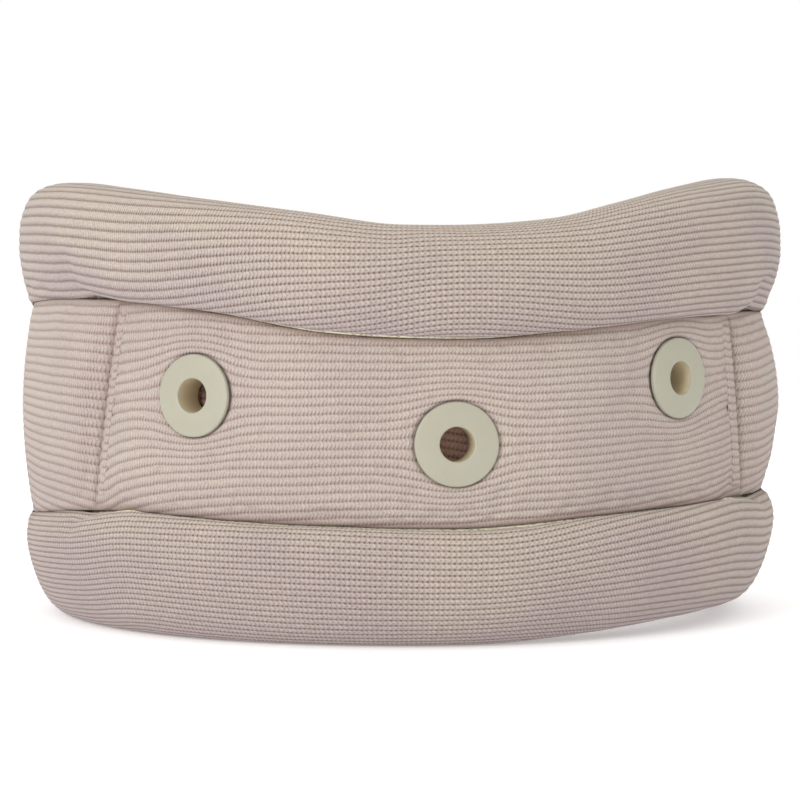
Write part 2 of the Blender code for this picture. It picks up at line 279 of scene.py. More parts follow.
def normals_of(points):
    n = np.cross(np.gradient(points, axis=0), np.gradient(points, axis=1))
    return n / np.maximum(np.linalg.norm(n, axis=-1, keepdims=True), 1e-12)


def rib_relief(rib, depth):
    """Rounded ridges with their crests at 0 and a groove at each whole number of ribs."""
    return ((0.5 - 0.5 * np.cos(2 * np.pi * rib)) ** 0.75 - 1) * depth


def stitches(angles, pitch):
    """The stitch number at each angle, counted along the ribs: stitches are short where ribs are wide."""
    rate = np.radians(angles[1] - angles[0]) * ROLL_WIDEST * MM * pitch / STITCH_AREA
    return np.cumsum(rate)


# -------- meshes

def link(name, data):
    made = bpy.data.objects.new(name, data)
    bpy.context.scene.collection.objects.link(made)
    return made


def smooth_object(name, shape, look):
    """A bmesh as an object with smooth faces."""
    mesh = bpy.data.meshes.new(name)
    shape.to_mesh(mesh)
    shape.free()
    mesh.shade_smooth()
    mesh.materials.append(look)
    return link(name, mesh)


def mesh_object(name, points, quads, look, knit=None):
    mesh = bpy.data.meshes.new(name)
    mesh.vertices.add(points.size // 3)
    mesh.vertices.foreach_set("co", points.astype(np.float32).reshape(-1))
    mesh.loops.add(len(quads) * 4)
    mesh.loops.foreach_set("vertex_index", quads.astype(np.int32).reshape(-1))
    mesh.polygons.add(len(quads))
    mesh.polygons.foreach_set("loop_start", np.arange(0, len(quads) * 4, 4, dtype=np.int32))
    mesh.update(calc_edges=True)
    mesh.shade_smooth()
    if knit is not None:
        attribute = mesh.attributes.new("knit", "FLOAT_VECTOR", "POINT")
        attribute.data.foreach_set("vector", knit[..., :3].astype(np.float32).reshape(-1))
        attribute = mesh.attributes.new("stretch", "FLOAT", "POINT")
        attribute.data.foreach_set("value", knit[..., 3].astype(np.float32).reshape(-1))
    if look:
        mesh.materials.append(look)
    return link(name, mesh)


def grid_quads(columns, rows, closed=False):
    """Faces over a grid of points. A closed grid's last row joins its first."""
    index = np.arange(columns * rows).reshape(columns, rows)
    if closed:
        index = np.concatenate([index, index[:, :1]], axis=1)
    return np.stack([index[:-1, :-1], index[1:, :-1], index[1:, 1:], index[:-1, 1:]], axis=-1).reshape(-1, 4)


def grid_mesh(name, points, look, knit=None, keep=None):
    """A mesh over a grid of points. knit holds each one's rib, stitch, painted shade and stretch, for the
    material.
    """
    quads = grid_quads(*points.shape[:2])
    if keep is not None:
        quads = quads[keep.reshape(-1)[quads].all(axis=1)]
        used = np.unique(quads)
        renumber = np.zeros(keep.size, int)
        renumber[used] = np.arange(len(used))
        quads, points, knit = renumber[quads], points.reshape(-1, 3)[used], knit.reshape(-1, 4)[used]
    return mesh_object(name, points, quads, look, knit)


# -------- cloth

LAST_FRAME = 20


def puffed(points, pinned, most, seed):
    """How far each point of a padded sheet moves when its stuffing presses it out: a cloth simulation."""
    columns, rows = points.shape[:2]
    sheet = grid_mesh("padding_sheet", points, None)
    flat = pinned.reshape(-1)
    pins = sheet.vertex_groups.new(name="pins")
    pins.add([int(i) for i in np.flatnonzero(flat)], 1.0, "REPLACE")
    slack = sheet.vertex_groups.new(name="slack")
    patchy = noise(columns, rows, 5, 4, seed).reshape(-1)
    for i, share in enumerate(np.clip(0.5 + 0.5 * patchy, 0, 1)):
        slack.add([i], float(share), "REPLACE")
    cloth = sheet.modifiers.new("cloth", "CLOTH")
    settings = cloth.settings
    settings.quality = 6
    settings.mass = 0.15
    settings.tension_stiffness = 20
    settings.compression_stiffness = 20
    settings.shear_stiffness = 8
    settings.bending_stiffness = 0.3
    settings.use_pressure = True
    settings.uniform_pressure_force = 4
    settings.vertex_group_mass = "pins"
    settings.vertex_group_shrink = "slack"
    settings.shrink_min = -0.005
    settings.shrink_max = -0.05
    settings.effector_weights.gravity = 0
    cloth.collision_settings.use_collision = False
    cloth.point_cache.frame_start = 1
    cloth.point_cache.frame_end = LAST_FRAME
    scene = bpy.context.scene
    for number in range(1, LAST_FRAME + 1):
        scene.frame_set(number)
    seen = sheet.evaluated_get(bpy.context.evaluated_depsgraph_get())
    moved = np.empty(len(flat) * 3, np.float32)
    seen.data.vertices.foreach_get("co", moved)
    scene.frame_set(1)
    shift = moved.reshape(columns, rows, 3).astype(float) - points
    bpy.data.objects.remove(sheet)
    length = np.linalg.norm(shift, axis=-1, keepdims=True)
    return shift * np.minimum(1, most / np.maximum(length, 1e-9))


# -------- materials

class Nodes:
    """Short calls for building a material's node tree."""

    def __init__(self, name):
        self.material = bpy.data.materials.new(name)
        self.material.use_nodes = True
        self.tree = self.material.node_tree
        self.shader = self.tree.nodes["Principled BSDF"]

    def new(self, kind, **settings):
        node = self.tree.nodes.new(kind)
        for key, value in settings.items():
            setattr(node, key, value)
        return node

    def set(self, socket, value):
        if isinstance(value, bpy.types.NodeSocket):
            self.tree.links.new(value, socket)
        else:
            socket.default_value = value

    def maths(self, operation, *values):
        node = self.new("ShaderNodeMath", operation=operation)
        for socket, value in zip(node.inputs, values):
            self.set(socket, value)
        return node.outputs[0]

    def times(self, a, b):
        return self.maths("MULTIPLY", a, b)

    def plus(self, a, b):
        return self.maths("ADD", a, b)

    def minus(self, a, b):
        return self.maths("SUBTRACT", a, b)

    def mix(self, share, a, b):
        node = self.new("ShaderNodeMix", data_type="RGBA")
        self.set(node.inputs["Factor"], share)
        self.set(node.inputs["A"], a)
        self.set(node.inputs["B"], b)
        return node.outputs["Result"]

    def ramp(self, value, low, high, out_low=0.0, out_high=1.0):
        node = self.new("ShaderNodeMapRange", interpolation_type="SMOOTHSTEP")
        for socket, number in zip(node.inputs, (value, low, high, out_low, out_high)):
            self.set(socket, number)
        return node.outputs[0]

    def noise(self, scale, detail=2.0):
        node = self.new("ShaderNodeTexNoise")
        self.set(node.inputs["Vector"], self.place())
        self.set(node.inputs["Scale"], scale)
        self.set(node.inputs["Detail"], detail)
        return node.outputs["Fac"]

    def place(self):
        return self.new("ShaderNodeTexCoord").outputs["Object"]

    def attribute(self, name):
        return self.new("ShaderNodeAttribute", attribute_name=name)

    def split(self, vector):
        node = self.new("ShaderNodeSeparateXYZ")
        self.set(node.inputs[0], vector)
        return node.outputs

    def bump(self, height, distance):
        node = self.new("ShaderNodeBump")
        self.set(node.inputs["Distance"], distance)
        self.set(node.inputs["Height"], height)
        return node.outputs["Normal"]

    def surface(self, colour, normal, **others):
        """Sets the shader's colour, its normal and its other inputs by name, with _ for a space."""
        for name, value in {"Base Color": colour, "Normal": normal, **others}.items():
            self.set(self.shader.inputs[name.replace("_", " ")], value)
        return self.material


def knit_material(name, light, underside_shade, dark, depth):
    """Ribbed stockinette: a chain of V-shaped stitches along each rib, and broken dark gaps between ribs."""
    n = Nodes(name)
    rib, stitch, painted_shade = n.split(n.attribute("knit").outputs["Vector"])
    stretch = n.attribute("stretch").outputs["Fac"]
    fuzz = n.minus(n.noise(2600.0, 3.0), 0.5)
    wander = n.minus(n.noise(500.0, 2.0), 0.5)
    # across runs from -0.5 to 0.5 over a rib, and strand is 0 between two stitches
    across = n.minus(n.maths("FRACT", n.plus(rib, n.times(wander, 0.16))), 0.5)
    off = n.times(n.maths("ABSOLUTE", across), 2.0)
    phase = n.plus(stitch, n.times(off, 0.5))
    phase = n.plus(phase, n.times(fuzz, 0.5))
    saw = n.minus(n.times(n.maths("FRACT", phase), 2.0), 1.0)
    strand = n.minus(1.0, n.maths("ABSOLUTE", saw))
    gap = n.ramp(strand, 0.05, 0.5, 1.0, 0.0)
    between = n.ramp(off, n.ramp(stretch, 0.0, 0.8, 0.36, 0.5), 0.95)
    groove = n.times(between, n.plus(0.45, n.times(gap, 0.55)))
    legs = n.times(gap, 0.3)
    eye = n.times(n.times(n.ramp(off, 0.0, 0.4, 0.55, 0.0), gap), n.ramp(stretch, 0.2, 0.9, 1.0, 0.2))
    flank = n.times(n.times(n.ramp(across, -0.32, 0.02, 0.75, 0.0), gap), n.ramp(stretch, 0.1, 0.7))
    shadow = n.maths("MAXIMUM", n.maths("MAXIMUM", groove, eye), n.maths("MAXIMUM", flank, legs))
    # Painted light: faces turned up take the light colour and faces turned down a painted shade colour, blurred
    # by cloudy noise.
    up = n.split(n.new("ShaderNodeNewGeometry").outputs["Normal"])[2]
    cloudy = n.minus(n.noise(42.0, 2.0), 0.5)
    top_light_share = n.ramp(n.plus(up, n.times(cloudy, 2.2)), -0.75, 0.75)
    top_lit_colour = n.mix(top_light_share, underside_shade, light)
    colour = n.mix(n.times(shadow, depth), top_lit_colour, dark)
    colour = n.mix(n.ramp(fuzz, -0.3, 0.3, 0.34, 0.0), colour, dark)
    # Painted shade from the knit's third value darkens the creases at seams, rims and tucks.
    colour = n.mix(painted_shade, colour, dark)
    height = n.plus(n.minus(1.0, shadow), n.times(fuzz, 0.7))
    return n.surface(colour, n.bump(height, 0.00014), Roughness=0.92, Specular_IOR_Level=0.15,
                     Sheen_Weight=0.12, Sheen_Roughness=0.6)


def plastic_material(name, colour, deep, roughness, glow):
    """Satin moulded plastic with faint mottling and a fine moulded grain."""
    n = Nodes(name)
    mottled = n.mix(n.ramp(n.noise(140.0, 3.0), 0.3, 0.75, 0.0, 0.5), colour, deep)
    satin = n.ramp(n.noise(900.0), 0.3, 0.7, roughness - 0.05, roughness + 0.07)
    return n.surface(mottled, n.bump(n.noise(1500.0), 0.00002), Roughness=satin, Subsurface_Weight=glow,
                     Subsurface_Radius=(0.0022, 0.0016, 0.0009))


def foam_material():
    """Open-cell foam: small round pores all over."""
    n = Nodes("open_cell_foam")
    cells = n.new("ShaderNodeTexVoronoi")
    n.set(cells.inputs["Vector"], n.place())
    cells.inputs["Scale"].default_value = 1300.0
    pore = n.ramp(cells.outputs["Distance"], 0.1, 0.6)
    colour = n.mix(pore, (0.45, 0.38, 0.24, 1), (0.82, 0.76, 0.58, 1))
    return n.surface(colour, n.bump(pore, 0.0002), Roughness=0.95)


def hook_material():
    """Hook tape: rows of fine stiff hooks that stand close together on a woven back."""
    n = Nodes("hook_tape_face")
    cells = n.new("ShaderNodeTexVoronoi")
    n.set(cells.inputs["Vector"], n.place())
    cells.inputs["Scale"].default_value = 900.0
    cells.inputs["Randomness"].default_value = 0.35
    hook = n.ramp(cells.outputs["Distance"], 0.15, 0.5, 1.0, 0.0)
    colour = n.mix(hook, (0.30, 0.25, 0.21, 1), (0.60, 0.54, 0.47, 1))
    return n.surface(colour, n.bump(hook, 0.0004), Roughness=0.55)


def loop_material():
    """Brushed loop tape: a soft tangle of fine loops."""
    n = Nodes("loop_tape_face")
    tangle = n.plus(n.noise(1500.0, 4.0), n.times(n.noise(4200.0, 2.0), 0.5))
    colour = n.mix(n.ramp(tangle, 0.5, 0.95), (0.34, 0.28, 0.23, 1), (0.60, 0.53, 0.46, 1))
    return n.surface(colour, n.bump(tangle, 0.0004), Roughness=0.95, Sheen_Weight=0.3)


def webbing_material(name, colour, dark):
    """Tightly woven tape: a plain weave of fine yarns with a faint fuzz."""
    n = Nodes(name)
    along_yarn, across_yarn, painted_shade = n.split(n.attribute("knit").outputs["Vector"])
    waves = [n.maths("ABSOLUTE", n.maths("SINE", n.times(v, math.pi))) for v in (along_yarn, across_yarn)]
    turn = n.maths("MODULO", n.plus(n.maths("FLOOR", along_yarn), n.maths("FLOOR", across_yarn)), 2.0)
    over = n.mix(turn, waves[0], waves[1])
    fuzz = n.noise(3000.0, 3.0)
    height = n.plus(over, n.times(fuzz, 0.6))
    tint = n.mix(n.ramp(over, 0.1, 0.8, 0.75, 0.0), colour, dark)
    # The tapes give the third knit value, the painted shade, as 0.
    return n.surface(n.mix(painted_shade, tint, dark), n.bump(height, 0.0001), Roughness=0.85)


# -------- the knit sleeve

def padding(points, step, pinned, most, seed):
    """The uneven swelling of stuffed fabric, from a cloth simulation of a coarser copy of the grid."""
    coarse = points[::step[0], ::step[1]]
    pins = pinned[::step[0], ::step[1]]
    shift = puffed(coarse, pins, most, seed)
    normal = normals_of(coarse)
    free = ~pins
    if free.any():
        swell = (shift * normal).sum(axis=-1)[free].mean()
        shift[free] -= (normal * swell)[free]
    return refine(shift, *points.shape[:2])


def uneven(shape, broad, fine, seed):
    """Broad and fine dents in metres, with cells of the given sizes in grid steps."""
    return noise(*shape, *broad, seed) * 0.22 * MM + noise(*shape, *fine, seed + 1) * 0.05 * MM


def sleeve():
    """The sleeve's surface as one grid from the upper seam over the neck side to the lower seam."""
    angles = np.linspace(-HALF_TURN, HALF_TURN, COLUMNS + 1)
    floor_line = along(BOTTOM_EDGE, angles)
    top_pitch, low_pitch = along(TOP_PITCH, angles), along(LOW_PITCH, angles)
    grids, ribs, borders, spans = [], [], [], {}
    count = first = 0
    sections = sleeve_section(angles)
    # the lower roll's ribs are level along the middle of its face, and its back takes up the difference
    face = spaced(sections[-1], 1)[1]
    drift = 0.5 * (face / low_pitch)[COLUMNS // 2] - 0.5 * face / low_pitch
    for (name, rows), outlines in zip(ROWS.items(), sections):
        section, length = spaced(outlines, rows)
        share = np.linspace(0, 1, rows + 1)[None, :]
        run = length[:, None] * share
        if name == "top_face":
            rib, border = (run - length[:, None]) / top_pitch[:, None], run
        elif name == "low_face":
            rib, border = count + drift[:, None] + run / low_pitch[:, None], length[:, None] - run
        else:
            more = drift[:, None] if name == "low_back" else 0
            rib, border = count + (BACK_RIBS[name] + more) * share + 0 * run, 9 * MM + 0 * run
            count += BACK_RIBS[name]
        keep = slice(0, None) if name == "low_face" else slice(0, -1)
        grids.append(section[:, keep])
        ribs.append(rib[:, keep])
        borders.append(border[:, keep])
        spans[name] = (first, first + rows)
        first += rows
    section = np.concatenate(grids, axis=1)
    rib, border = np.concatenate(ribs, axis=1), np.concatenate(borders, axis=1)
    height = np.maximum(section[..., 1], floor_line[:, None])
    points = place(section[..., 0], angles[:, None], height)

    rows = rib.shape[1]
    pinned = np.zeros(rib.shape, bool)
    pinned[:, [0, -1]] = True
    pinned[[0, -1], :] = True
    pinned[:, spans["low_back"][1]] = True
    shift = padding(points, (4, 10), pinned, 0.6 * MM, 3)
    still = ease((height - floor_line[:, None]) / (7 * MM)) * ease((HALF_TURN - np.abs(angles)) / 5)[:, None]
    points = points + shift * still[..., None]
    normal = normals_of(points)
    calm = ease(border / (4 * MM)) * still
    dents = uneven(rib.shape, (26, 60), (9, 26), 5)
    rib = rib + noise(*rib.shape, 22, 60, 7) * 0.1 * calm
    upper = np.arange(rows)[None, :] < spans["waist"][0]
    lower = np.arange(rows)[None, :] >= spans["low_back"][0]
    pitch = np.where(upper, top_pitch[:, None], np.where(lower, low_pitch[:, None], 1.2 * MM))
    stretch = np.clip((pitch / MM - 1.05) / 0.6, 0, 1)
    points = points + normal * (dents * calm + rib_relief(rib, (0.14 - 0.06 * stretch) * pitch))[..., None]
    stitch = np.where(upper, stitches(angles, top_pitch)[:, None], stitches(angles, low_pitch)[:, None])
    # The third knit value is painted shade: darker within about a millimetre of the seams, where the rolls fold
    # in.
    painted_shade = 0.4 * (1 - ease(border / (1.2 * MM)))
    knit = layers(rib, stitch, painted_shade, stretch)
    pieces = {}
    half = COLUMNS // 2
    stretches = {"upper_roll": (0, spans["waist"][0]), "inner_lining": spans["waist"],
                 "lower_roll": (spans["low_back"][0], rows - 1)}
    for name, (a, b) in stretches.items():
        for side, part in ((-1, slice(0, half + 1)), (1, slice(half, None))):
            cut = (part, slice(a, b + 1))
            pieces[name, side] = grid_mesh(f"{name}_{SIDES[side]}", points[cut], LOOKS["roll"], knit[cut])
    return pieces, {-1: points[0], 1: points[-1]}


def side_seam(side, share):
    """The side seam's angle at a share of the height from the lower to the upper seam."""
    low, high = SIDE_SEAMS[side]
    return low + (high - low) * share


# -------- the panel and the wings

def panel_surface(across, share):
    """The padded panel's angles, radii and heights, without its ribs. across and share run from 0 to 1."""
    left, right = side_seam(-1, share), side_seam(1, share)
    angle = left + (right - left) * across
    low, high = along(BOTTOM_SEAM, angle), along(TOP_SEAM, angle)
    height = low + (high - low) * share
    seam = along(SEAM_RADIUS, angle) + 1.8 * MM * ease((50 - np.abs(angle)) / 6) - EDGE_TUCK
    from_left = across * np.radians(right - left) * PANEL_R
    from_right = (1 - across) * np.radians(right - left) * PANEL_R
    from_side = np.minimum(from_left, from_right)
    puff_up = np.clip(np.sin(np.pi * share), 0, 1) ** 0.36
    puff_side = 1 - np.exp(-from_side / (2.2 * MM))
    crest = 79.1 * MM - 0.7 * MM * ease((20 * MM - from_side) / (20 * MM))
    radius = seam + (crest - seam) * puff_up * (0.35 + 0.65 * puff_side)
    away, above = eyelet_distance(angle, height)
    press = ease((15.5 * MM - away) / (7 * MM))
    # the cover lies under each flange and rises just outside it
    bed = FLANGE_BACK - 0.12 * MM + 0.72 * MM * ease((away - 7.5 * MM) / (0.9 * MM))
    radius = radius + (bed - radius) * press
    return angle, radius, height, from_side, away, above, press


def panel():
    """The front panel's knit cover, puffed between its seams and drawn in round the eyelets."""
    share = np.linspace(0, 1, 231)[None, :]
    across = np.linspace(0, 1, 331)[:, None]
    angle, radius, height, from_side, away, above, press = panel_surface(across, share)
    points = place(radius, angle, height)
    by_seam = np.minimum(share, 1 - share)
    pinned = (away < 11 * MM) | (from_side < 0.5 * MM) | (by_seam + 0 * away < 0.01)
    by_seam = by_seam * PANEL_HEIGHT
    border = np.minimum(by_seam, from_side)
    calm = ease(border / (3 * MM))
    shift = padding(points, (5, 5), pinned, 0.6 * MM, 8)
    points = points + shift * (calm * ease((away - 9 * MM) / (4 * MM)))[..., None]

    normal = normals_of(points)
    lower_run, upper_run = along(PANEL_LOW_RUN, angle), along(PANEL_HIGH_RUN, angle)
    run = lower_run + (upper_run - lower_run) * share
    # the ribs part round each eyelet, as a stream does round a post
    parting = above * (4.2 * MM) ** 2 / np.maximum(away, 6 * MM) ** 2 * ease((17 * MM - away) / (9 * MM))
    rib = (height - run - parting) / PANEL_PITCH + noise(*away.shape, 22, 30, 13) * 0.08
    relief = rib_relief(rib, 0.065 * PANEL_PITCH) * (1 - 0.4 * press)
    dents = uneven(away.shape, (40, 70), (14, 26), 11)
    points = points + normal * (dents * calm * (1 - press) + relief)[..., None]
    stitch = np.radians(angle) * FLANGE_BACK * PANEL_PITCH / STITCH_AREA
    # Painted shade: darker along the upper and lower seams, beside the side seams and in a ring at each
    # flange's rim.
    painted_shade = 0.45 * (1 - ease(by_seam / (1.8 * MM))) + 0.22 * (1 - ease(from_side / (1.2 * MM)))
    painted_shade = painted_shade + 0.25 * ease((8.3 * MM - away) / (0.8 * MM))
    knit = layers(rib, stitch, np.clip(painted_shade, 0, 1), 0.75)
    return grid_mesh("panel_cover", points, LOOKS["knit"], knit, away > VENT_R)


def panel_hem(side):
    """The folded edge of the panel's cover, a narrow strip beside the side seam."""
    width, raised = HEMS[side]
    share = np.linspace(0.03, 0.97, 231)[None, :]
    step = np.linspace(0, 1, 27)[:, None]
    full = np.radians(side_seam(1, share) - side_seam(-1, share)) * PANEL_R
    across = (0.4 * MM + width * step) / full
    across = across if side < 0 else 1 - across
    angle, radius, height = panel_surface(across, share)[:3]
    rim = np.clip(5 * np.minimum(step, 1 - step), 0, 1)
    lift = raised * np.sin(rim * np.pi / 2) - 0.15 * MM * (1 - rim)
    tuck = ease(np.minimum(share - 0.03, 0.97 - share) / 0.05)
    points = place(radius + lift * tuck - 0.5 * MM * (1 - tuck), angle, height)
    rib = height / PANEL_PITCH + noise(*height.shape, 8, 30, 31) * 0.1
    out = place(1.0, angle, 0 * height)
    points = points + out * rib_relief(rib, 0.09 * MM)[..., None]
    # The third knit value paints shade where the hem tucks under at its ends.
    knit = layers(rib, step * width / (0.7 * MM), 0.3 * (1 - tuck), 0.5)
    if side > 0:
        points, knit = points[::-1], knit[::-1]
    return grid_mesh("hem_strip_" + SIDES[side], points, LOOKS["knit"], knit)


def wing_band(side):
    """The knit between the rolls on a wing, from the panel's side seam to the wing's end."""
    share = np.linspace(0, 1, 201)[None, :]
    start = side_seam(side, share)
    run = np.linspace(0, 1, 251)[:, None] ** 1.15
    angle = start + (side * HALF_TURN - start) * run
    low, high = along(BOTTOM_SEAM, angle), along(TOP_SEAM, angle)
    height = low + (high - low) * share
    seam = along(SEAM_RADIUS, angle) - EDGE_TUCK
    from_side = np.abs(np.radians(angle - start)) * WING_R
    rise = 1 - np.exp(-from_side / (2.6 * MM))
    puff = np.clip(np.sin(np.pi * share), 0, 1) ** along(WING_ROUND, angle)
    crest = along(WING_CREST, angle)
    crease = seam + (77.0 * MM - seam) * puff
    radius = crease + (seam + (crest - seam) * puff - crease) * rise
    points = place(radius, angle, height)
    if side < 0:
        points, height, angle, from_side = (x[::-1] for x in (points, height, angle, from_side))
    border = np.minimum(np.minimum(share, 1 - share) * WING_HEIGHT, from_side)
    calm = ease(border / (3 * MM)) * ease((128 - np.abs(angle)) / 12)
    end = HALF_TURN - np.abs(angle)
    pinned = (border < 0.4 * MM) | (end < 0.5) | (np.abs(angle) > 128)
    points = points + padding(points, (5, 5), pinned, 0.7 * MM, 9 - side) * calm[..., None]

    normal = normals_of(points)
    slope = 0.19 - 0.13 * share if side < 0 else 0.2 - 0.05 * share
    rib = (height - slope * 45 * MM * (1 - np.exp(-from_side / (45 * MM)))) / WING_PITCH
    rib = rib + noise(*angle.shape, 18, 30, 21 + side) * 0.08
    dents = noise(*angle.shape, 24, 60, 25 + side) * 0.2 * MM
    points = points + normal * (dents * calm + rib_relief(rib, 0.06 * WING_PITCH))[..., None]
    stitch = np.radians(angle) * WING_R * WING_PITCH / STITCH_AREA
    # Painted shade: darker along the wing's seams and its side seam.
    painted_shade = 0.4 * (1 - ease(border / (1.3 * MM)))
    cover = grid_mesh(SIDES[side] + "_wing_cover", points, LOOKS["knit"], layers(rib, stitch, painted_shade, 1.0))
    return cover, points[0 if side < 0 else -1]


def waist_cover():
    """The sleeve's knit behind the panel, which is seen through the eyelets."""
    angle = np.linspace(-48, 48, 181)[:, None]
    share = np.linspace(0, 1, 221)[None, :]
    low, high = along(BOTTOM_SEAM, angle) - 1 * MM, along(TOP_SEAM, angle) + 1 * MM
    height = low + (high - low) * share
    rib = (height + 0.16 * np.radians(angle) * WAIST_R) / WAIST_PITCH
    points = place(71.1 * MM + rib_relief(rib, 0.3 * MM), angle, height)
    stitch = np.radians(angle) * WAIST_R / (0.8 * MM)
    # The third knit value paints a little shade all over this cover, which is seen only through the eyelets.
    return grid_mesh("waist_cover", points, LOOKS["inner"], layers(rib, stitch, 0.1, 0.5))


def foam_core(side):
    """Half of the foam inside the sleeve, a little smaller all round and closed at the wing's end."""
    angles = side * np.linspace(0, HALF_TURN - 0.4, 73)
    if side < 0:
        angles = angles[::-1]
    stretches = [spaced(stretch, FOAM_ROWS)[0][:, :-1] for stretch in sleeve_section(angles)]
    outline = np.concatenate(stretches, axis=1)
    low, high = along(BOTTOM_SEAM, angles), along(TOP_SEAM, angles)
    share = np.linspace(0.04, 0.96, FOAM_ROWS)[None, :]
    wing = ease((np.abs(angles) - 52) / 6)[:, None]
    swell = along(WING_CREST, angles)[:, None] - FOAM_WAIST
    outer = FOAM_WAIST + swell * wing * np.sin(np.pi * share) ** 0.6
    level = low[:, None] + (high - low)[:, None] * share
    loop = np.concatenate([outline, np.stack([outer, level], axis=-1)], axis=1)
    base, top = along(BOTTOM_EDGE, angles)[:, None], along(TOP_EDGE, angles)[:, None]
    middle = np.clip(loop[..., 1], base + 10 * MM, top - 10 * MM)
    waist = ease((middle - low[:, None] + 4 * MM) / (6 * MM))
    waist = waist * ease((high[:, None] + 4 * MM - middle) / (6 * MM))
    # every point is drawn in towards the heart, a ribbon up the middle of the foam
    heart = np.stack([FOAM_HEART - 4 * MM * waist * (1 - wing), middle], axis=-1)
    away = loop - heart
    length = np.linalg.norm(away, axis=-1, keepdims=True)
    loop = heart + away * np.maximum(length - FOAM_INSET, 0.2 * MM) / length
    steps = np.linspace(0, 1, 8)[1:]
    end, inner = (0, -1) if side < 0 else (-1, 0)
    caps = [heart[end] + (loop[end] - heart[end]) * math.cos(t * math.pi / 2) for t in steps]
    closing = [heart[inner] + (loop[inner] - heart[inner]) * (1 - t) for t in steps]
    cap_turns = side * (abs(angles[end]) + 1.6 * np.sin(steps * math.pi / 2))
    flat = np.full(len(steps), angles[inner])
    if side < 0:
        rings = [caps[::-1], loop, closing]
        turns = np.concatenate([cap_turns[::-1], angles, flat])
    else:
        rings = [closing[::-1], loop, caps]
        turns = np.concatenate([flat, angles, cap_turns])
    loop = np.concatenate([np.array(ring) for ring in rings])
    columns, rows = loop.shape[:2]
    coarse = noise(columns, rows, 6, 6, 41) * 0.12 * MM
    points = place(loop[..., 0] + coarse, turns[:, None], loop[..., 1])
    quads = grid_quads(columns, rows, closed=True)
    core = mesh_object("foam_core_" + SIDES[side], points, quads, LOOKS["foam"])
    bend(core)
    return core


def end_cover(side, sleeve_edge, band_edge):
    """The knit drawn closed over a wing's end, domed from the section's outline to a line up its middle."""
    loop = np.concatenate([sleeve_edge, band_edge[1:-1]])
    radius = np.hypot(loop[:, 0], loop[:, 1])
    height = loop[:, 2]
    middle = np.clip(height, 11 * MM, height.max() - 11 * MM)
    steps = np.linspace(0, 1, 15)[:, None]
    shrink = np.cos(steps * np.pi / 2) ** 0.8
    turn = HALF_TURN + CAP_ADVANCE * np.sin(steps * np.pi / 2)
    r = END_MIDDLE + (radius - END_MIDDLE) * shrink
    z = middle + (height - middle) * shrink
    points = place(r, side * turn, z)
    stitch = np.cumsum(np.linalg.norm(np.diff(loop, axis=0, prepend=loop[:1]), axis=1)) / (1.1 * MM)
    # The third knit value paints shade, growing towards the middle, where the knit is drawn closed.
    knit = layers(steps * 7, stitch, 0.25 * steps**3, 0.2)
    quads = grid_quads(*r.shape, closed=True)
    if side > 0:
        quads = quads[:, ::-1]
    name = SIDES[side]
    cover = mesh_object(name + "_end_knit", points, quads, LOOKS["roll"], knit)
    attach(cover, name + "_wing")
    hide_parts(name + "_end_cover")


# -------- eyelets

def lathe(name, profile, steps, look):
    """Turns a closed profile of (radius, height) about Z, with smooth faces."""
    columns = np.linspace(0, 2 * math.pi, steps + 1)[:-1]
    shape = bmesh.new()
    rings = [[shape.verts.new((r * math.cos(a), r * math.sin(a), z)) for a in columns] for r, z in profile]
    count = len(rings)
    for i in range(count):
        upper, lower = rings[i], rings[(i + 1) % count]
        for k in range(steps):
            j = (k + 1) % steps
            shape.faces.new((upper[k], lower[k], lower[j], upper[j]))
    bmesh.ops.recalc_face_normals(shape, faces=shape.faces[:])
    return smooth_object(name, shape, look)


def rounded(points, radius, steps=4):
    """A closed outline with its corners rounded off."""
    out = []
    count = len(points)
    for i in range(count):
        here = Vector(points[i])
        back, on = Vector(points[i - 1]) - here, Vector(points[(i + 1) % count]) - here
        r = min(radius, back.length * 0.45, on.length * 0.45)
        a, b = here + back.normalized() * r, here + on.normalized() * r
        for k in range(steps + 1):
            t = k / steps
            p = a * (1 - t) ** 2 + here * 2 * t * (1 - t) + b * t**2
            out.append((p.x, p.y))
    return out


def outwards(angle):
    return Vector((math.sin(math.radians(angle)), -math.cos(math.radians(angle)), 0))


def fit_to_panel(item, angle, height, replaced):
    """Turns a piece made along Z to point out of the panel, and fixes it to the front body."""
    out = outwards(angle)
    side = Vector((0, 0, 1)).cross(out)
    turn = Matrix((side, out.cross(side), out)).transposed()
    item.matrix_world = Matrix.Translation((0, 0, height)) @ turn.to_4x4()
    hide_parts(replaced)
    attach(item, "front")


def eyelets():
    """The moulded eyelets, each a dished flange and a barrel in one, and their back washers."""
    outline = rounded([(HOLE_R, FLANGE_FACE + 0.08 * MM), (4.6 * MM, FLANGE_FACE + 0.04 * MM),
                       (FLANGE_R, FLANGE_FACE - 0.25 * MM), (FLANGE_R, FLANGE_BACK),
                       (BARREL_R, FLANGE_BACK), (BARREL_R, BARREL_END), (HOLE_R, BARREL_END)], 0.36 * MM)
    ring = rounded([(WASHER_R, WASHER_OUT), (WASHER_R, WASHER_IN), (WASHER_HOLE_R, WASHER_IN),
                    (WASHER_HOLE_R, WASHER_OUT)], 0.3 * MM)
    for side, (angle, height) in EYELETS.items():
        flange = lathe("eyelet_flange_" + side, outline, 96, LOOKS["eyelet"])
        flange.data.materials.append(LOOKS["barrel"])
        # The hole's wall takes the barrel look, painted light coming through the plastic.
        for face in flange.data.polygons:
            in_hole = math.hypot(face.center.x, face.center.y) < HOLE_R + 0.15 * MM
            if in_hole and face.center.z < FLANGE_FACE - 0.5 * MM:
                face.material_index = 1
        fit_to_panel(flange, angle, height, "eyelet_" + side)
        washer = lathe("eyelet_back_" + side, ring, 96, LOOKS["eyelet"])
        fit_to_panel(washer, angle, height, "eyelet_washer_" + side)


# -------- the closure

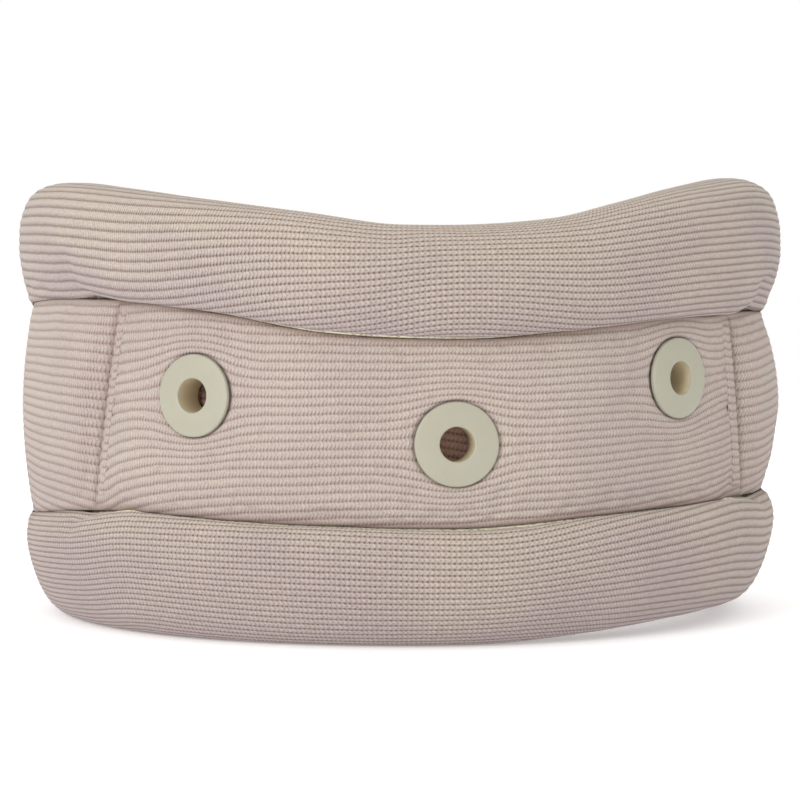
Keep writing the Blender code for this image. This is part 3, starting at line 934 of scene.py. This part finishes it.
def tape(name, replaced, body, look, arc, radii, shorter=0.0, corner=0.0):
    """A closed length of tape round the collar's axis, with rounded edges. A corner rounds its far end."""
    low, high = TAPE_LOW + shorter, TAPE_HIGH - shorter
    inner, outer = radii[0] * MM, radii[1] * MM
    thick = outer - inner
    columns = int((arc[1] - arc[0]) * 2.2) + 2
    angle = np.linspace(arc[0], arc[1], columns)[:, None]
    half, middle = (high - low) * MM / 2, (high + low) * MM / 2
    edge = thick / 2
    sweep = np.radians(np.linspace(-90, 90, 9))
    flat = np.linspace(-1, 1, 61)
    face = np.concatenate([flat * (half - edge), half - edge + edge * np.cos(sweep[::-1]),
                           flat[::-1] * (half - edge), -(half - edge) - edge * np.cos(sweep)])
    rise = edge * np.sin(sweep)
    level = np.concatenate([0 * flat + edge, rise[::-1], 0 * flat - edge, rise])
    from_end = (arc[1] - angle) * math.pi / 180 * outer
    into_corner = np.clip(corner * MM - from_end, 0, None)
    narrow = corner * MM - np.sqrt(np.clip((corner * MM) ** 2 - into_corner**2, 0, None))
    height = middle + face[None, :] * (1 - narrow / half)
    radius = inner + edge + level[None, :] + 0 * angle
    yarn = layers(np.radians(angle) * outer / (0.62 * MM), height / (0.55 * MM), 0.0, 0.0)
    points = place(radius, angle, height)
    quads = grid_quads(*radius.shape, closed=True)
    rows = radius.shape[1]
    caps = []
    for base, flip in ((0, 1), ((columns - 1) * rows, -1)):
        ring = [base + k for k in range(rows)]
        for k in range(rows // 2 - 1):
            caps.append([ring[k], ring[k + 1], ring[rows - 2 - k], ring[rows - 1 - k]][::flip])
    quads = np.concatenate([quads, np.array(caps)])
    made = mesh_object(name, points, quads, look, yarn)
    shape = bmesh.new()
    shape.from_mesh(made.data)
    bmesh.ops.recalc_face_normals(shape, faces=shape.faces[:])
    shape.to_mesh(made.data)
    shape.free()
    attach(made, body)
    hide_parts(replaced)
    return made


def stitching(name, body, first, last, radius):
    """A box of sewing stitches between two angles, a little in from the tape's edges."""
    low, high = TAPE_LOW + STITCH_INSET, TAPE_HIGH - STITCH_INSET
    shape = bmesh.new()
    for (a0, z0), (a1, z1) in (((first, low), (last, low)), ((first, high), (last, high)),
                               ((first, low), (first, high)), ((last, low), (last, high))):
        run = math.hypot(math.radians(a1 - a0) * radius, (z1 - z0) * MM)
        count = max(2, int(run / (2.4 * MM)))
        for k in range(count):
            t = (k + 0.5) / count
            angle, height = a0 + (a1 - a0) * t, (z0 + (z1 - z0) * t) * MM
            out = outwards(angle)
            way = outwards(angle + 90) if a1 > a0 else Vector((0, 0, 1))
            turn = Matrix((way, out.cross(way), out)).transposed().to_4x4()
            size = Matrix.Diagonal((0.95 * MM, 0.22 * MM, 0.16 * MM, 1))
            where = Matrix.Translation(out * radius + Vector((0, 0, height)))
            bmesh.ops.create_uvsphere(shape, u_segments=8, v_segments=6, radius=1, matrix=where @ turn @ size)
    made = smooth_object(name, shape, LOOKS["thread"])
    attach(made, body)


def closure():
    """The hook-and-loop strap that joins the wings at the back."""
    webbing = LOOKS["webbing"]
    strap = tape("strap_tape", "strap_webbing", "strap", webbing, (150.6, 219.9), STRAP_RADII)
    tape("pull_tab_end", "strap_pull_tab", "strap", webbing, (220.4, 226), STRAP_RADII, 6.0, 5.0)
    hooks = tape("hook_fastener", "hook_tape", "strap", LOOKS["hooks"], (194, 219), HOOK_RADII, 1.0, 1.0)
    loops = tape("loop_fastener", "loop_patch", "left_wing", LOOKS["loops"], (190, 230), LOOP_RADII,
                 -0.4, 2.0)
    tape("anchor_tape", "strap_anchor", "right_wing", webbing, (132, 158), ANCHOR_RADII, 0.0, 1.0)
    stitching("anchor_stitching", "right_wing", 134, 148, 79.12 * MM)
    stitching("strap_stitching", "strap", 196, 217, 80.83 * MM)


# -------- stage

def stage():
    """A pale floor, wide enough that its edge melts into the white surroundings."""
    shape = bmesh.new()
    bmesh.ops.create_circle(shape, cap_ends=True, segments=96, radius=6.0)
    n = Nodes("pale_floor")
    mottled = n.mix(n.ramp(n.noise(3.0), 0.3, 0.7, 0.0, 0.05), (0.93, 0.93, 0.93, 1), (0.88, 0.88, 0.88, 1))
    n.set(n.shader.inputs["Base Color"], mottled)
    n.shader.inputs["Roughness"].default_value = 0.8
    n.shader.inputs["Emission Color"].default_value = (1.0, 1.0, 1.0, 1)
    n.shader.inputs["Emission Strength"].default_value = 0.3
    smooth_object("floor", shape, n.material)


def light():
    """A soft key light from the front left, in a white room."""
    key = bpy.data.lights.new("key", "AREA")
    key.shape = "DISK"
    key.size = 0.6
    key.energy = 8.4
    key.color = (1.0, 0.99, 0.97)
    lamp = link("key", key)
    lamp.location = (-0.85, -1.05, 0.5)
    target = Vector((0, 0, 0.05))
    lamp.rotation_euler = (target - lamp.location).to_track_quat("-Z", "Y").to_euler()
    world = bpy.data.worlds.new("studio")
    world.use_nodes = True
    world.node_tree.nodes["Background"].inputs["Color"].default_value = (1.0, 1.0, 1.0, 1)
    world.node_tree.nodes["Background"].inputs["Strength"].default_value = 1.0
    bpy.context.scene.world = world
    bpy.context.scene.view_settings.view_transform = "Standard"


def camera():
    """Level with the panel, five radii away and a little to the left of the middle."""
    data = bpy.data.cameras.new("camera")
    data.sensor_width = 36
    data.lens = 83.6
    item = link("camera", data)
    turn = math.radians(-7.5)
    distance = 0.412
    item.location = (distance * math.sin(turn), -distance * math.cos(turn), 0.045)
    item.rotation_euler = (math.radians(90), 0, turn)
    bpy.context.scene.camera = item


# -------- assembly

LOOKS = {
    # Knit looks: the colour on faces turned up, the painted shade on faces turned down, the colour of the
    # painted groove and crease shade, and that shade's strength. The rolls' copy has darker, stronger painted
    # shade.
    "knit": knit_material("ribbed_stockinette", (0.515, 0.452, 0.388, 1), (0.445, 0.385, 0.365, 1),
                          (0.175, 0.095, 0.075, 1), 0.85),
    "roll": knit_material("roll_stockinette", (0.53, 0.464, 0.392, 1), (0.438, 0.376, 0.366, 1),
                          (0.10, 0.046, 0.035, 1), 0.98),
    "inner": knit_material("shaded_stockinette", (0.62, 0.42, 0.36, 1), (0.60, 0.40, 0.34, 1),
                           (0.20, 0.09, 0.07, 1), 0.9),
    "eyelet": plastic_material("eyelet_plastic", (0.355, 0.342, 0.268, 1), (0.335, 0.315, 0.235, 1),
                               0.42, 0.2),
    # Painted light: the hole's wall, moulded in one with the flange, is given a brighter, warmer tan for light
    # coming through the plastic.
    "barrel": plastic_material("eyelet_barrel_wall", (0.55, 0.47, 0.31, 1), (0.49, 0.40, 0.26, 1), 0.4, 0.1),
    "foam": foam_material(),
    "webbing": webbing_material("woven_webbing", (0.50, 0.43, 0.37, 1), (0.27, 0.21, 0.17, 1)),
    "plate": plastic_material("stiffener_plastic", (0.74, 0.73, 0.68, 1), (0.66, 0.65, 0.59, 1), 0.5, 0.1),
    "hooks": hook_material(),
    "loops": loop_material(),
    "thread": plastic_material("sewing_thread", (0.66, 0.58, 0.50, 1), (0.52, 0.44, 0.37, 1), 0.7, 0.0),
}


def bend(item):
    """Bakes a piece's placement into its mesh."""
    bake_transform(item)


def padded_knit(item, side=None):
    """A padded knit piece rides on the front body, or, with a side, has its placement baked into its mesh."""
    if side:
        bend(item)
    else:
        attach(item, "front")


def build():
    camera()
    light()
    stage()
    covers, edges = sleeve()
    for (_, side), item in covers.items():
        padded_knit(item, side)
    cores = {side: foam_core(side) for side in SIDES}
    for side, name in SIDES.items():
        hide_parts(name + "_knit_sleeve")
        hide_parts(name + "_foam_core")
    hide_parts("front_knit_sleeve")
    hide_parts("front_foam_core")
    cover = panel()
    padded_knit(cover)
    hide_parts("panel_knit_cover", "panel_foam_pad")
    for side, name in SIDES.items():
        hem = panel_hem(side)
        padded_knit(hem)
        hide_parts("panel_hem_" + name)
        band, band_edge = wing_band(side)
        padded_knit(band, side)
        end_cover(side, edges[side], band_edge)
    padded_knit(waist_cover())
    eyelets()
    closure()
    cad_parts["stiffener_plate"].material_slots[0].material = LOOKS["plate"]


build()
